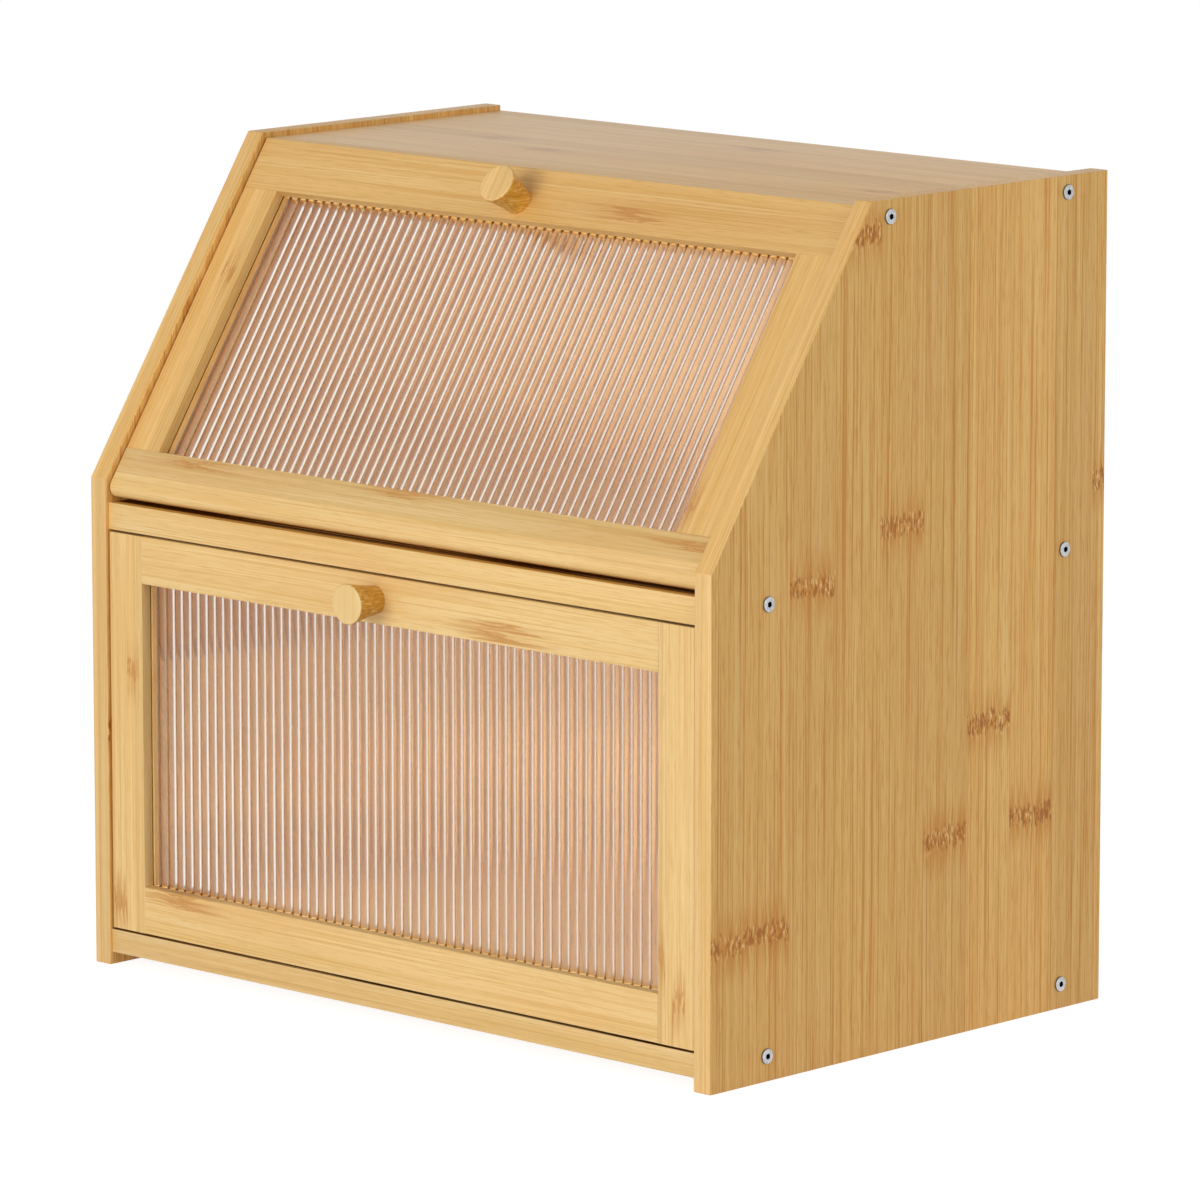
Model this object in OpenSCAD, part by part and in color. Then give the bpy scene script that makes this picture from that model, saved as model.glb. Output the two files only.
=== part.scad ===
// Slant-front bread box in bamboo, with a fluted flap door above and a drawer below.
//
// Working axes, in millimetres: X runs across the box with 0 at its middle, Y runs from the
// front edge of the sides towards the back, and Z runs up from the surface that it stands on.
// place() then moves the whole box along Y, so that its bounding box is centred on the origin.
//
// The door is drawn in slant coordinates. There Y is the depth square to the sloping front
// edge of the sides, and Z is the distance up that edge from the corner where the slope starts.

/* [Cabinet] */
// Width over the two side panels
width = 390; // [340:1:440]
// Depth of the side panels at their foot
depth = 262; // [236:1:300]
// Height of the side panels
height = 381; // [350:1:420]
// Height where the front edge of the side panels turns back into the slope
front_h = 229; // [212:1:250]
// How far back the top of the slope lies from the front edge
top_setback = 102.5; // [80:0.5:125]
// Thickness of the side panels
side_t = 10; // [9:0.5:14]
// Thickness of the top panel
top_t = 10; // [9:0.5:13]
// Depth of the top panel's surface below the top edge of the sides
top_drop = 2.6; // [0:0.2:5]
// Thickness of the shelf between the drawer and the upper compartment
shelf_t = 12.5; // [10:0.5:16]
// How far the shelf's surface lies below the corner where the slope starts
shelf_drop = 11; // [9:0.5:13]
// Setback of the shelf's front edge from the side panels
shelf_recess = 1.9; // [0:0.1:4]
// Thickness of the floor panel
floor_t = 11; // [9:0.5:14]
// Clear height under the floor panel
floor_lift = 6; // [3:0.5:12]
// Setback of the floor panel's front edge from the side panels
floor_recess = 1.2; // [0:0.1:4]
// Thickness of the back panel
back_t = 5; // [3:0.5:8]
// Distance from the back panel to the rear edge of the sides
back_inset = 6; // [4:0.5:12]
// Depth of the grooves that hold the back panel
back_groove = 4; // [2:0.5:5]

/* [Door] */
// Thickness of the door's rails and stiles
door_t = 10; // [9:0.5:12]
// Depth of the door's face below the sloping edge of the sides
door_recess = 3; // [1:0.25:5]
// Height of the door's top rail, on its face
door_top_rail_h = 26.3; // [24:0.1:34]
// Height of the door's bottom rail, with its rounded edge
door_bottom_rail_h = 22.6; // [19:0.1:32]
// Width of the door's stiles
door_stile_w = 21.4; // [16:0.1:32]
// Thickness of the lip that overlaps the front edge of the top panel
door_lip_t = 6.5; // [5:0.25:7]
// Gap between the door and each side panel
door_side_gap = 1; // [0.5:0.1:2]
// Gap between the rounded edge of the door and the shelf
door_shelf_gap = 2.2; // [1:0.1:3]
// Gap between the lip and the front edge of the top panel
door_lip_gap = 0.5; // [0.3:0.1:1]
// Gap between the door's shoulder and the underside of the top panel
door_shoulder_gap = 0.9; // [0.5:0.1:2]

/* [Drawer front] */
// Thickness of the drawer front's rails and stiles
front_t = 10; // [9:0.5:12]
// Setback of the drawer front from the front edge of the sides
front_recess = 1.3; // [0:0.1:4]
// Height of the drawer front's rails
front_rail_h = 22; // [19:0.5:32]
// Width of the drawer front's stiles
front_stile_w = 21.4; // [16:0.1:32]
// Gap all round the drawer front
front_gap = 1; // [0.5:0.1:2]

/* [Drawer box] */
// Thickness of the drawer's sides
drawer_side_t = 8; // [7:0.5:12]
// Height of the drawer's sides
drawer_side_h = 125; // [80:1:140]
// Thickness of the drawer's back
drawer_back_t = 8; // [7:0.5:12]
// Thickness of the drawer's bottom
drawer_bottom_t = 4; // [3:0.5:5]
// Height of the drawer's bottom above the lower edge of its sides
drawer_bottom_rise = 8; // [5:0.5:9]
// Depth of the grooves that hold the drawer's bottom
drawer_groove = 4; // [2:0.5:5]
// Running gap under the drawer, and behind it when it is closed
drawer_run_gap = 0.3; // [0.2:0.1:1]

/* [Fluted panes] */
// Thickness of a pane over its flutes
pane_t = 2.6; // [2:0.1:3]
// Depth of a pane's crests below the face of its frame
pane_depth = 5.4; // [4:0.1:6]
// Depth of the grooves in the frames that hold the panes
pane_groove = 5.5; // [4:0.5:7]
// Distance from one flute to the next
flute_pitch = 5.45; // [4:0.05:8]
// Depth of the flutes
flute_depth = 0.9; // [0.4:0.05:1.2]

/* [Knobs] */
// Diameter of a knob's flared end
knob_d = 18.5; // [16:0.5:22]
// Diameter of a knob where it meets the rail
knob_base_d = 12.9; // [10:0.1:15]
// Length of a knob
knob_len = 18; // [15:0.5:25]
// Rounding of a knob's outer edge
knob_edge_r = 1; // [0.5:0.25:2]
// Sideways place of both knobs, measured from the middle of the box
knob_x = -10.8; // [-40:0.2:40]

/* [Cabinet screws] */
// Shank diameter of the cabinet screws
screw_d = 4; // [3:0.5:5]
// Length of the cabinet screws under the head
screw_len = 38; // [25:1:50]
// Diameter of the screw heads
screw_head_d = 6.9; // [6:0.1:9]
// Height of the screw heads above the side panels
screw_head_h = 1; // [0.6:0.1:2]
// Size of the hexagon socket, across its flats
socket_af = 2.5; // [2:0.5:3]
// Depth of the hexagon socket
socket_depth = 1.8; // [1:0.1:2.5]
// Distance of the front shelf and floor screws from the front edge of the sides
screw_front = 36.2; // [25:0.5:60]
// Distance of the rear screws from the rear edge of the sides
screw_back = 28; // [20:0.5:45]
// Distance of the top front screws from the sloping edge of the top panel
screw_top_edge = 3.9; // [3.5:0.1:10]

/* [Small fixings] */
// Diameter of the door's hinge pins
pin_d = 4; // [3:0.5:5]
// Depth of a hinge pin in the side panel
pin_in_side = 7; // [5:0.5:8]
// Length of a hinge pin in the door
pin_in_door = 12; // [8:0.5:20]
// Shank diameter of the knob screws
knob_screw_d = 4; // [3:0.5:5]
// Length of a knob screw inside the knob
knob_screw_bite = 11; // [8:0.5:13]
// Head diameter of the knob screws
knob_screw_head_d = 8; // [6.5:0.5:9]
// Head height of the knob screws
knob_screw_head_h = 2.2; // [1.5:0.1:3]
// Diameter of the dowels between the drawer's front and its sides
dowel_d = 4; // [3:0.5:5]
// Depth of a dowel in the drawer front
dowel_in_front = 6; // [4:0.5:7]
// Depth of a dowel in the drawer's side
dowel_in_side = 18; // [12:1:25]
// Distance of the dowels from the ends of the drawer side's height
dowel_inset = 26; // [20:1:35]
// Shank diameter of the screws that hold the drawer's back
box_screw_d = 3; // [2.5:0.5:3.5]
// Length of the screws that hold the drawer's back
box_screw_len = 26; // [20:1:35]
// Head diameter of the screws that hold the drawer's back
box_screw_head_d = 6; // [5:0.5:7]
// Height of the countersunk heads of those screws
box_screw_head_h = 2; // [1.5:0.1:2.5]
// Distance of those screws from the top and bottom of the drawer's back
box_screw_inset = 22; // [15:1:30]

/* [Fits] */
// Radial clearance of shanks, dowels and pins in their holes
hole_fit = 0.05; // [0.03:0.01:0.09]
// Clearance on each side of what sits in a groove
groove_fit = 0.1; // [0.05:0.05:0.3]
// Clearance at the bottom of grooves and blind holes
end_fit = 0.4; // [0.2:0.1:0.5]

/* [Hidden] */
$fn = 64;
eps = 0.01;    // overshoot of a cut past the face that it opens
far = 1000;    // longer than any part of the box

// Colours of the finishes
front_wood = [0.90, 0.76, 0.50];
side_wood = [0.80, 0.65, 0.40];
top_wood = [0.80, 0.68, 0.55];
inner_wood = [0.85, 0.72, 0.50];
knob_wood = [0.89, 0.73, 0.44];
clear_plastic = [0.93, 0.90, 0.88, 0.45];
steel = [0.72, 0.73, 0.75];

// Heights and depths of the cabinet
inner_w = width - 2 * side_t;
lean = atan2(top_setback, height - front_h);    // angle of the slope from the vertical
top_z = height - top_drop;                      // surface of the top panel
top_under = top_z - top_t;
shelf_top = front_h - shelf_drop;
shelf_under = shelf_top - shelf_t;
floor_top = floor_lift + floor_t;
back_y = depth - back_inset - back_t;           // inner face of the back panel

// Slant coordinates: where a depth p and a height z meet
function slant_s(p, z) = (z - front_h + p * sin(lean)) / cos(lean);
function slant_y(p, z) = (z - front_h) * tan(lean) + p / cos(lean);

// The door, in slant coordinates
door_w = inner_w - 2 * door_side_gap;
door_back = door_recess + door_t;
lip_back = door_recess + door_lip_t;
top_edge_p = lip_back + door_lip_gap;           // sloping front edge of the top panel
hinge_r = door_t / 2;                           // rounded lower edge, round the hinge pins
hinge_z = shelf_top + door_shelf_gap + hinge_r;
hinge_p = door_recess + door_t / 2;
hinge_s = slant_s(hinge_p, hinge_z);
hinge_y = slant_y(hinge_p, hinge_z);
door_top_s = slant_s(door_recess, top_z);       // top of the door's face
shoulder_s = slant_s(top_edge_p, top_under) - door_shoulder_gap;
door_open_low = hinge_s - hinge_r + door_bottom_rail_h;
door_open_high = door_top_s - door_top_rail_h;
door_open_w = door_w - 2 * door_stile_w;
door_knob_s = (door_open_high + shoulder_s) / 2;

// The drawer
front_w = inner_w - 2 * front_gap;
front_low = floor_top + front_gap;
front_high = shelf_under - front_gap;
front_back = front_recess + front_t;
front_open_low = front_low + front_rail_h;
front_open_high = front_high - front_rail_h;
front_open_w = front_w - 2 * front_stile_w;
drawer_knob_z = front_high - front_rail_h / 2;
drawer_low = floor_top + drawer_run_gap;
drawer_high = drawer_low + drawer_side_h;
drawer_rear = back_y - drawer_run_gap;
drawer_inner_w = front_w - 2 * drawer_side_t;
bottom_low = drawer_low + drawer_bottom_rise;
bottom_high = bottom_low + drawer_bottom_t;
dowel_x = front_w / 2 - drawer_side_t / 2;
dowel_zs = [drawer_low + dowel_inset, drawer_high - dowel_inset];
box_screw_y = drawer_rear - drawer_back_t / 2;
box_screw_zs = [bottom_high + box_screw_inset, drawer_high - box_screw_inset];

// Grooves, tongues and panes
groove_w = pane_t + 2 * groove_fit;
tongue_len = pane_groove - end_fit;
flute_r = (pow(flute_pitch / 2, 2) + pow(flute_depth, 2)) / (2 * flute_depth);

// Where the cabinet screws sit
screw_rear_y = depth - screw_back;
screw_top_z = top_z - top_t / 2;
screw_top_y = slant_y(top_edge_p + screw_top_edge, screw_top_z);
top_screw_ys = [screw_top_y, screw_rear_y];
shelf_screw_ys = [screw_front, screw_rear_y];
screw_shelf_z = shelf_top - shelf_t / 2;
screw_floor_z = floor_top - floor_t / 2;
screw_bore_len = screw_len + end_fit;

// The lower knob reaches furthest forward, so it sets the middle of the whole box
knob_front_y = front_recess - knob_len;
middle_y = (depth + min(knob_front_y, 0)) / 2;

// ---- Shared shapes ----

module place() translate([0, -middle_y, 0]) children();

// Slant coordinates turned into the box's own
module on_slant() place() translate([0, 0, front_h]) rotate([-lean, 0, 0]) children();

// A block between two corners
module block(low, high) translate(low) cube(high - low);

// A block that spans the middle of the box
module board(w, y0, y1, z0, z1) block([-w / 2, y0, z0], [w / 2, y1, z1]);

// A YZ outline drawn out along X
module along_x(x0, x1) translate([x0, 0, 0]) rotate([90, 0, 90]) linear_extrude(x1 - x0) children();

// Round bar or hole along +X from a point
module bar_x(at, len, d) translate(at) rotate([0, 90, 0]) cylinder(h = len, d = d);

// Round bar or hole along +Y from a point
module bar_y(at, len, d) translate(at) rotate([-90, 0, 0]) cylinder(h = len, d = d);

module both_sides() {
    children();
    mirror([1, 0, 0]) children();
}

// ---- Cabinet ----

module cabinet_screw_bores(ys, z) {
    for (y = ys) bar_x([width / 2 - screw_bore_len, y, z], screw_bore_len + eps, screw_d + 2 * hole_fit);
}

module all_screw_bores() both_sides() {
    cabinet_screw_bores(top_screw_ys, screw_top_z);
    cabinet_screw_bores(shelf_screw_ys, screw_shelf_z);
    cabinet_screw_bores(shelf_screw_ys, screw_floor_z);
}

// The back panel with its clearance, as the grooves that hold it
module back_groove_space() {
    board(inner_w + 2 * back_groove, back_y - groove_fit, back_y + back_t + groove_fit,
        floor_top - back_groove, top_under + back_groove);
}

module side_panel() place() difference() {
    along_x(inner_w / 2, width / 2)
        polygon([[0, 0], [depth, 0], [depth, height], [top_setback, height], [0, front_h]]);
    all_screw_bores();
    back_groove_space();
    bar_x([inner_w / 2 - eps, hinge_y, hinge_z], pin_in_side + end_fit, pin_d + 2 * hole_fit);
}

module side_panel_right() color(side_wood) side_panel();

module side_panel_left() color(side_wood) mirror([1, 0, 0]) side_panel();

module top_panel() color(top_wood) place() difference() {
    along_x(-inner_w / 2, inner_w / 2)
        polygon([
            [slant_y(top_edge_p, top_under), top_under], [depth, top_under],
            [depth, top_z], [slant_y(top_edge_p, top_z), top_z]
        ]);
    all_screw_bores();
    back_groove_space();
}

module shelf() color(front_wood) place() difference() {
    board(inner_w, shelf_recess, back_y - groove_fit, shelf_under, shelf_top);
    all_screw_bores();
}

module floor_panel() color(front_wood) place() difference() {
    board(inner_w, floor_recess, depth, floor_lift, floor_top);
    all_screw_bores();
    back_groove_space();
}

module back_panel() color(inner_wood) place()
    board(inner_w + 2 * (back_groove - end_fit), back_y, back_y + back_t,
        floor_top - back_groove + end_fit, top_under + back_groove - end_fit);

// Socket screw, along -X from the underside of its head at the origin
module cabinet_screw() difference() {
    rotate([0, 90, 0]) union() {
        cylinder(h = screw_head_h, d = screw_head_d);
        translate([0, 0, screw_d - screw_len]) cylinder(h = screw_len - screw_d, d = screw_d);
        translate([0, 0, -screw_len]) cylinder(h = screw_d, d1 = screw_d / 4, d2 = screw_d);
    }
    translate([screw_head_h - socket_depth, 0, 0]) rotate([0, 90, 0])
        cylinder(h = socket_depth + eps, d = socket_af / cos(30), $fn = 6);
}

module cabinet_screws(ys, z) color(steel) place() both_sides()
    for (y = ys) translate([width / 2, y, z]) cabinet_screw();

module top_screws() cabinet_screws(top_screw_ys, screw_top_z);

module shelf_screws() cabinet_screws(shelf_screw_ys, screw_shelf_z);

module floor_screws() cabinet_screws(shelf_screw_ys, screw_floor_z);

module hinge_pin() place()
    bar_x([door_w / 2 - pin_in_door, hinge_y, hinge_z],
        pin_in_door + door_side_gap + pin_in_side, pin_d);

module hinge_pin_right() color(steel) hinge_pin();

module hinge_pin_left() color(steel) mirror([1, 0, 0]) hinge_pin();

// ---- Fluted panes and knobs ----

// Pane of a given size, crests forward at y = 0, standing on z = 0
module fluted_pane(w, h) {
    flutes = ceil(w / flute_pitch);
    linear_extrude(h) intersection() {
        translate([-w / 2, 0]) square([w, pane_t]);
        union() {
            translate([-w / 2, flute_depth]) square([w, pane_t - flute_depth]);
            for (i = [0 : flutes - 1])
                translate([(i - (flutes - 1) / 2) * flute_pitch, 0]) flute();
        }
    }
}

// Section of one flute, with its crest at the origin
module flute() intersection() {
    translate([0, flute_r]) circle(r = flute_r);
    translate([-flute_pitch / 2, 0]) square([flute_pitch, flute_depth + eps]);
}

// The groove for a pane, as a slab that reaches past an opening on every side
module pane_groove_space(face_y, open_w, low, high) {
    y0 = face_y + pane_depth - groove_fit;
    board(open_w + 2 * pane_groove, y0, y0 + groove_w, low - pane_groove, high + pane_groove);
}

// Slab whose ends are the tongues of the pieces between, thinner than the groove all over
module tongue_slab(face_y, w, low, high) {
    y0 = face_y + pane_depth;
    board(w, y0, y0 + pane_t, low, high);
}

module pane(face_y, open_w, low, high) {
    reach = pane_groove - end_fit;
    translate([0, face_y + pane_depth, low - reach])
        fluted_pane(open_w + 2 * reach, high - low + 2 * reach);
}

// Turned knob with its foot at y = 0, pointing along -Y
module knob() {
    side = atan2((knob_d - knob_base_d) / 2, knob_len);    // flare from the axis
    rim = [knob_d / 2 - knob_edge_r, knob_len - knob_edge_r];
    rotate([90, 0, 0]) difference() {
        rotate_extrude() polygon(concat(
            [[0, 0], [knob_base_d / 2, 0]],
            [for (a = [-side : (90 + side) / 8 : 90.01]) rim + knob_edge_r * [cos(a), sin(a)]],
            [[0, knob_len]]
        ));
        translate([0, 0, -eps]) cylinder(h = knob_screw_bite + end_fit + eps, d = knob_screw_d + 2 * hole_fit);
    }
}

// Pan-head screw that pulls a knob against its rail of thickness t, knob at y = 0
module knob_screw(t) {
    bar_y([0, -knob_screw_bite, 0], knob_screw_bite + t + eps, knob_screw_d);
    bar_y([0, t, 0], knob_screw_head_h, knob_screw_head_d);
}

// ---- Door, in slant coordinates ----

module door_rail(low, high) board(door_w, door_recess, door_back, low, high);

module door_groove()
    pane_groove_space(door_recess, door_w, door_open_low, door_open_high);

module door_top_rail() color(front_wood) on_slant() difference() {
    along_x(-door_w / 2, door_w / 2) polygon([
        [door_recess, door_open_high], [door_back, door_open_high], [door_back, shoulder_s],
        [lip_back, shoulder_s], [lip_back, slant_s(lip_back, top_z)], [door_recess, door_top_s]
    ]);
    door_groove();
    bar_y([knob_x, door_recess - eps, door_knob_s], door_t + 2 * eps, knob_screw_d + 2 * hole_fit);
}

module door_bottom_rail() color(front_wood) on_slant() difference() {
    union() {
        door_rail(hinge_s, door_open_low);
        bar_x([-door_w / 2, hinge_p, hinge_s], door_w, door_t);
    }
    door_groove();
    both_sides()
        bar_x([door_w / 2 - pin_in_door - end_fit, hinge_p, hinge_s],
            pin_in_door + end_fit + eps, pin_d + 2 * hole_fit);
}

module door_stile() on_slant() {
    difference() {
        block([door_open_w / 2, door_recess, door_open_low], [door_w / 2, door_back, door_open_high]);
        pane_groove_space(door_recess, door_open_w, door_open_low, door_open_high);
    }
    // Tongues that fill the grooves of both rails
    difference() {
        tongue_slab(door_recess, door_w, door_open_low - tongue_len, door_open_high + tongue_len);
        block([-far, -far, door_open_low], [far, far, door_open_high]);
        block([-far, -far, -far], [door_open_w / 2 + pane_groove, far, far]);
    }
}

module door_stile_right() color(front_wood) door_stile();

module door_stile_left() color(front_wood) mirror([1, 0, 0]) door_stile();

module door_pane() color(clear_plastic) on_slant()
    pane(door_recess, door_open_w, door_open_low, door_open_high);

module door_knob() color(knob_wood) on_slant() translate([knob_x, door_recess, door_knob_s]) knob();

module door_knob_screw() color(steel) on_slant()
    translate([knob_x, door_recess, door_knob_s]) knob_screw(door_t);

// ---- Drawer ----

module drawer_rail(low, high) difference() {
    union() {
        board(front_open_w, front_recess, front_back, low, high);
        // Tongues that fill the grooves of both stiles
        tongue_slab(front_recess, front_open_w + 2 * tongue_len, low, high);
    }
    pane_groove_space(front_recess, front_open_w, front_open_low, front_open_high);
}

module drawer_front_top_rail() color(front_wood) place() difference() {
    drawer_rail(front_open_high, front_high);
    bar_y([knob_x, front_recess - eps, drawer_knob_z], front_t + 2 * eps, knob_screw_d + 2 * hole_fit);
}

module drawer_front_bottom_rail() color(front_wood) place() difference() {
    drawer_rail(front_low, front_open_low);
    board(front_open_w + eps, front_back - drawer_groove, front_back + eps,
        bottom_low - groove_fit, bottom_high + groove_fit);
}

module drawer_front_stile() place() difference() {
    block([front_open_w / 2, front_recess, front_low], [front_w / 2, front_back, front_high]);
    pane_groove_space(front_recess, front_open_w, front_low - far, front_high + far);
    dowel_bores();
}

module drawer_front_stile_right() color(front_wood) drawer_front_stile();

module drawer_front_stile_left() color(front_wood) mirror([1, 0, 0]) drawer_front_stile();

module dowel_bores() for (z = dowel_zs)
    bar_y([dowel_x, front_back - dowel_in_front - end_fit, z],
        dowel_in_front + dowel_in_side + 2 * end_fit, dowel_d + 2 * hole_fit);

module drawer_dowels() color(inner_wood) place() both_sides() for (z = dowel_zs)
    bar_y([dowel_x, front_back - dowel_in_front, z], dowel_in_front + dowel_in_side, dowel_d);

// The drawer's bottom with its clearance, as the grooves in the sides
module bottom_groove_space()
    board(drawer_inner_w + 2 * drawer_groove, front_back - eps, drawer_rear + eps,
        bottom_low - groove_fit, bottom_high + groove_fit);

module drawer_side() place() difference() {
    block([drawer_inner_w / 2, front_back, drawer_low], [front_w / 2, drawer_rear, drawer_high]);
    bottom_groove_space();
    dowel_bores();
    for (z = box_screw_zs) translate([front_w / 2, box_screw_y, z]) box_screw_space();
}

module drawer_side_right() color(inner_wood) drawer_side();

module drawer_side_left() color(inner_wood) mirror([1, 0, 0]) drawer_side();

module drawer_back() color(inner_wood) place() difference() {
    board(drawer_inner_w, drawer_rear - drawer_back_t, drawer_rear, bottom_high + groove_fit, drawer_high);
    both_sides() for (z = box_screw_zs) translate([front_w / 2, box_screw_y, z]) box_screw_space();
}

// The bottom slides in under the back, and its tongue enters the front's bottom rail
module drawer_bottom() color(inner_wood) place() {
    board(drawer_inner_w + 2 * (drawer_groove - end_fit), front_back, drawer_rear, bottom_low, bottom_high);
    board(front_open_w - 2 * end_fit, front_back - drawer_groove + end_fit, front_back + eps,
        bottom_low, bottom_high);
}

// Countersunk screw along -X, with the flat of its head at the origin
module box_screw(fit = 0) rotate([0, -90, 0]) {
    cylinder(h = box_screw_head_h + fit, d1 = box_screw_head_d + 2 * fit, d2 = box_screw_d + 2 * fit);
    cylinder(h = box_screw_len + fit, d = box_screw_d + 2 * fit);
}

module box_screw_space() {
    box_screw(hole_fit);
    bar_x([-eps, 0, 0], 2 * eps, box_screw_head_d + 2 * hole_fit);
}

module drawer_screws() color(steel) place() both_sides()
    for (z = box_screw_zs) translate([front_w / 2, box_screw_y, z]) box_screw();

module drawer_pane() color(clear_plastic) place()
    pane(front_recess, front_open_w, front_open_low, front_open_high);

module drawer_knob() color(knob_wood) place() translate([knob_x, front_recess, drawer_knob_z]) knob();

module drawer_knob_screw() color(steel) place()
    translate([knob_x, front_recess, drawer_knob_z]) knob_screw(front_t);

side_panel_left();
side_panel_right();
top_panel();
shelf();
floor_panel();
back_panel();
top_screws();
shelf_screws();
floor_screws();
hinge_pin_left();
hinge_pin_right();
door_top_rail();
door_bottom_rail();
door_stile_left();
door_stile_right();
door_pane();
door_knob();
door_knob_screw();
drawer_front_top_rail();
drawer_front_bottom_rail();
drawer_front_stile_left();
drawer_front_stile_right();
drawer_pane();
drawer_knob();
drawer_knob_screw();
drawer_side_left();
drawer_side_right();
drawer_back();
drawer_bottom();
drawer_dowels();
drawer_screws();
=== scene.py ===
# %% [markdown]
# # A slant-front bamboo bread box
#
# The real object is a small cabinet of laminated bamboo. A flap door with a fluted clear pane
# closes its sloping upper half, and a drawer with the same kind of front fills the lower half.
# This lesson dresses the finished construction: it gives every board eased edges and a grain of
# its own, models the panes, knobs and screws, and sets up soft studio light and a camera.

# %% Load the frame
import math

import bmesh
import bpy
from mathutils import Euler, Matrix, Vector


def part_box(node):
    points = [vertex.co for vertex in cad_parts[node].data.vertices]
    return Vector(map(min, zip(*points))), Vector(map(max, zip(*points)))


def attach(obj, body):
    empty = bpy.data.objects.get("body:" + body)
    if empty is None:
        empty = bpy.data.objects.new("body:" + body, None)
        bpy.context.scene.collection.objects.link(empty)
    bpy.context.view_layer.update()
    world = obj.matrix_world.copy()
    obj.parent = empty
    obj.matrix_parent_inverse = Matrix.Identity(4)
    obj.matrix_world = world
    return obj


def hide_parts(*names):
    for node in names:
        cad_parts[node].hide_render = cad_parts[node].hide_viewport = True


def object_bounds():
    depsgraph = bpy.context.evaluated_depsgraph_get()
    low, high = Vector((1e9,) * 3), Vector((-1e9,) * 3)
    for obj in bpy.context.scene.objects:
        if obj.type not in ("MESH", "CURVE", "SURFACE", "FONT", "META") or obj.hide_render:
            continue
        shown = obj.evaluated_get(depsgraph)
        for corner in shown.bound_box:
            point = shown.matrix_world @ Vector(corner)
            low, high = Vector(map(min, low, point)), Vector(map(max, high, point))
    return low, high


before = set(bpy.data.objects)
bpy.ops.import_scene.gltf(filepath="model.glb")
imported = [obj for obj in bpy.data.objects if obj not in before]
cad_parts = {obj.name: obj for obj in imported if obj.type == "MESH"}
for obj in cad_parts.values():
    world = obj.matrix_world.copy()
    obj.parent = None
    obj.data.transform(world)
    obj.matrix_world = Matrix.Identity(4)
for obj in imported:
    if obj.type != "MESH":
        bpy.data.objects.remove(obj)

cad_box = [list(corner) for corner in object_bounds()]
box_low, box_high = (Vector(corner) for corner in cad_box)
print("pieces:", len(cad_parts), "size in metres:", [round(v, 4) for v in box_high - box_low])

# %% [markdown]
# ## Working in millimetres
#
# Blender measures in metres, but a maker thinks of this box in millimetres. One constant turns
# the sizes over, so that every number below reads like a number on a drawing.

# %% Units and the slope of the front
MM = 0.001


def sloping_face(node):
    """The largest face of a side panel that looks forwards and upwards at once."""
    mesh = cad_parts[node].data
    tilted = [p for p in mesh.polygons if p.normal.y < -0.5 and p.normal.z > 0.3]
    return max(tilted, key=lambda p: p.area), mesh


slope_face, slope_mesh = sloping_face("side_panel_left")
LEAN = math.atan2(slope_face.normal.z, -slope_face.normal.y)
slope_foot = min((slope_mesh.vertices[i].co for i in slope_face.vertices), key=lambda co: co.z)
UPRIGHT = Matrix.Identity(4)
SLANTED = Matrix.Translation((0, slope_foot.y, slope_foot.z)) @ Matrix.Rotation(-LEAN, 4, "X")
print("the door leans back by", round(math.degrees(LEAN), 2), "degrees")

# %% [markdown]
# ## Small helpers
#
# An operator works on whatever is selected, and the frame arrives selected. So each helper first
# lets go of everything and then takes hold of one object.


# %% Selecting and measuring
def take(piece):
    """Makes one object the only selected and active one."""
    if bpy.context.object and bpy.context.object.mode != "OBJECT":
        bpy.ops.object.mode_set(mode="OBJECT")
    bpy.ops.object.select_all(action="DESELECT")
    piece.select_set(True)
    bpy.context.view_layer.objects.active = piece
    return piece


def local_box(node, place):
    """Lowest and highest corner of a CAD node, measured along the axes of a place."""
    back = place.inverted()
    points = [back @ v.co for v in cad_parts[node].data.vertices]
    low = Vector([min(p[axis] for p in points) for axis in range(3)])
    high = Vector([max(p[axis] for p in points) for axis in range(3)])
    return low, high


def settle(piece, place):
    """Moves a piece that was made upright to its place, and keeps the move in its mesh."""
    take(piece)
    piece.matrix_world = place @ piece.matrix_world
    bpy.ops.object.transform_apply(location=True, rotation=True, scale=True)


def report(piece):
    """Prints what a piece is made of."""
    triangles = sum(len(p.vertices) - 2 for p in piece.data.polygons)
    print(piece.name, "has", triangles, "triangles")


pane_low, pane_high = local_box("drawer_pane", UPRIGHT)
print("the drawer's pane in mm:", [round(v / MM, 1) for v in pane_high - pane_low])

# %% [markdown]
# ## The grain of bamboo
#
# A bamboo board is glued up from strips, each split from one cane. Every strip has long fine
# fibres, its own tone, and here and there a knuckle, where the cane had a joint: a short band of
# broken brown dashes. All boards share this pattern, so it is a node group. It works in board
# coordinates, in millimetres: x runs across the strips, y through the board, z along the grain.


# %% Node shorthand
def node(tree, kind, settings=None, **inputs):
    """Adds a node, sets its options, and sets or links its inputs by name, or by i and a number."""
    made = tree.nodes.new(kind)
    for option, value in (settings or {}).items():
        setattr(made, option, value)
    for name, value in inputs.items():
        key = int(name[1:]) if name[1:].isdigit() else name.replace("_", " ")
        if isinstance(value, bpy.types.NodeSocket):
            tree.links.new(value, made.inputs[key])
        else:
            made.inputs[key].default_value = value
    return made


def math_of(tree, operation, a, b=0.0):
    """The result of one Math node."""
    return node(tree, "ShaderNodeMath", {"operation": operation}, i0=a, i1=b).outputs[0]


def ramp(tree, value, low, high, start=0.0, end=1.0):
    """Eases from start to end while the value goes from low to high."""
    options = {"interpolation_type": "SMOOTHSTEP"}
    made = node(tree, "ShaderNodeMapRange", options, Value=value,
                From_Min=low, From_Max=high, To_Min=start, To_Max=end)
    return made.outputs[0]


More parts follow.
